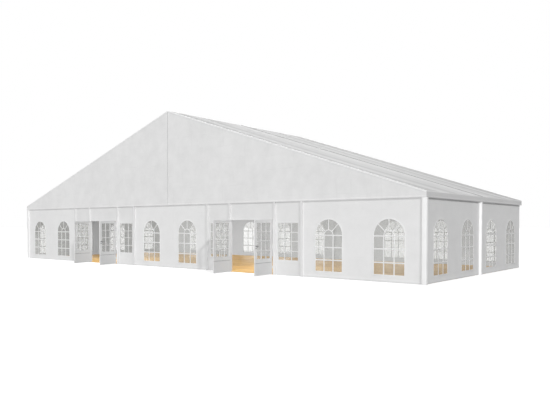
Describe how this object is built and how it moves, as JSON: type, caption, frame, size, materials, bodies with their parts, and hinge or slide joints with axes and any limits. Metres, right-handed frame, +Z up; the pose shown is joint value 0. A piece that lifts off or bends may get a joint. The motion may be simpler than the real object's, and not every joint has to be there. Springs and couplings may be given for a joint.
{
  "type": "marquee tent",
  "caption": "White clear-span marquee tent with a pitched roof, arched clear windows, a timber floor and glazed double doors standing open in its long gable.",
  "frame": {"origin": "centre of the plan on the ground, on the underside of the timber floor", "axes": "+X along the long gable walls, -Y out of the gable with the doors, +Z up"},
  "size_m": [25, 11.1506, 7.0914],
  "materials": {
    "frame_white": "satin",
    "roof_fabric": "coated woven sheet, semi-matt",
    "wall_fabric": "coated woven sheet, semi-matt",
    "window_film": "clear soft film, gloss",
    "window_glass": "clear, polished",
    "white_panel": "satin",
    "timber_floor": "varnished boards, satin",
    "lever_dark": "satin"
  },
  "bodies": {
    "tent": {"floor": "timber_floor", "front_frame": "frame_white", "middle_frame": "frame_white", "rear_frame": "frame_white", "ridge_purlin": "frame_white", "left_eave_purlin": "frame_white", "right_eave_purlin": "frame_white", "front_post_1": "frame_white", "front_post_2": "frame_white", "front_post_3": "frame_white", "front_post_4": "frame_white", "rear_post_1": "frame_white", "rear_post_2": "frame_white", "rear_post_3": "frame_white", "rear_post_4": "frame_white", "front_wall_left": "wall_fabric", "front_wall_middle": "wall_fabric", "front_wall_right": "wall_fabric", "front_window_film_left": "window_film", "front_window_film_middle": "window_film", "front_window_film_right": "window_film", "rear_wall": "wall_fabric", "rear_window_film": "window_film", "left_side_wall": "wall_fabric", "left_side_window_film": "window_film", "right_side_wall": "wall_fabric", "right_side_window_film": "window_film", "left_entrance_left_panel": "white_panel", "left_entrance_left_glass": "window_glass", "left_entrance_head": "white_panel", "left_entrance_right_panel": "white_panel", "left_entrance_right_glass": "window_glass", "right_entrance_left_panel": "white_panel", "right_entrance_left_glass": "window_glass", "right_entrance_head": "white_panel", "right_entrance_right_panel": "white_panel", "right_entrance_right_glass": "window_glass", "front_gable_left": "roof_fabric", "front_gable_right": "roof_fabric", "rear_gable_left": "roof_fabric", "rear_gable_right": "roof_fabric", "front_roof_left": "roof_fabric", "front_roof_right": "roof_fabric", "rear_roof_left": "roof_fabric", "rear_roof_right": "roof_fabric"},
    "left_entrance_left_leaf": {"left_entrance_left_door": "white_panel"},
    "left_entrance_right_leaf": {"left_entrance_right_door": "white_panel", "left_entrance_lever_outside": "lever_dark", "left_entrance_lever_inside": "lever_dark"},
    "right_entrance_left_leaf": {"right_entrance_left_door": "white_panel"},
    "right_entrance_right_leaf": {"right_entrance_right_door": "white_panel", "right_entrance_lever_outside": "lever_dark", "right_entrance_lever_inside": "lever_dark"}
  },
  "joints": [
    {"name": "left_entrance_left_hinge", "type": "hinge", "parent": "tent", "child": "left_entrance_left_leaf", "pos_m": [-6.142, -5.012, 0], "axis": [0, 0, -1], "range_deg": [-75, 35]},
    {"name": "left_entrance_right_hinge", "type": "hinge", "parent": "tent", "child": "left_entrance_right_leaf", "pos_m": [-3.858, -5.012, 0], "axis": [0, 0, 1], "range_deg": [-104, 6]},
    {"name": "right_entrance_left_hinge", "type": "hinge", "parent": "tent", "child": "right_entrance_left_leaf", "pos_m": [3.858, -5.012, 0], "axis": [0, 0, -1], "range_deg": [-83, 27]},
    {"name": "right_entrance_right_hinge", "type": "hinge", "parent": "tent", "child": "right_entrance_right_leaf", "pos_m": [6.142, -5.012, 0], "axis": [0, 0, 1], "range_deg": [-95, 15]}
  ]
}
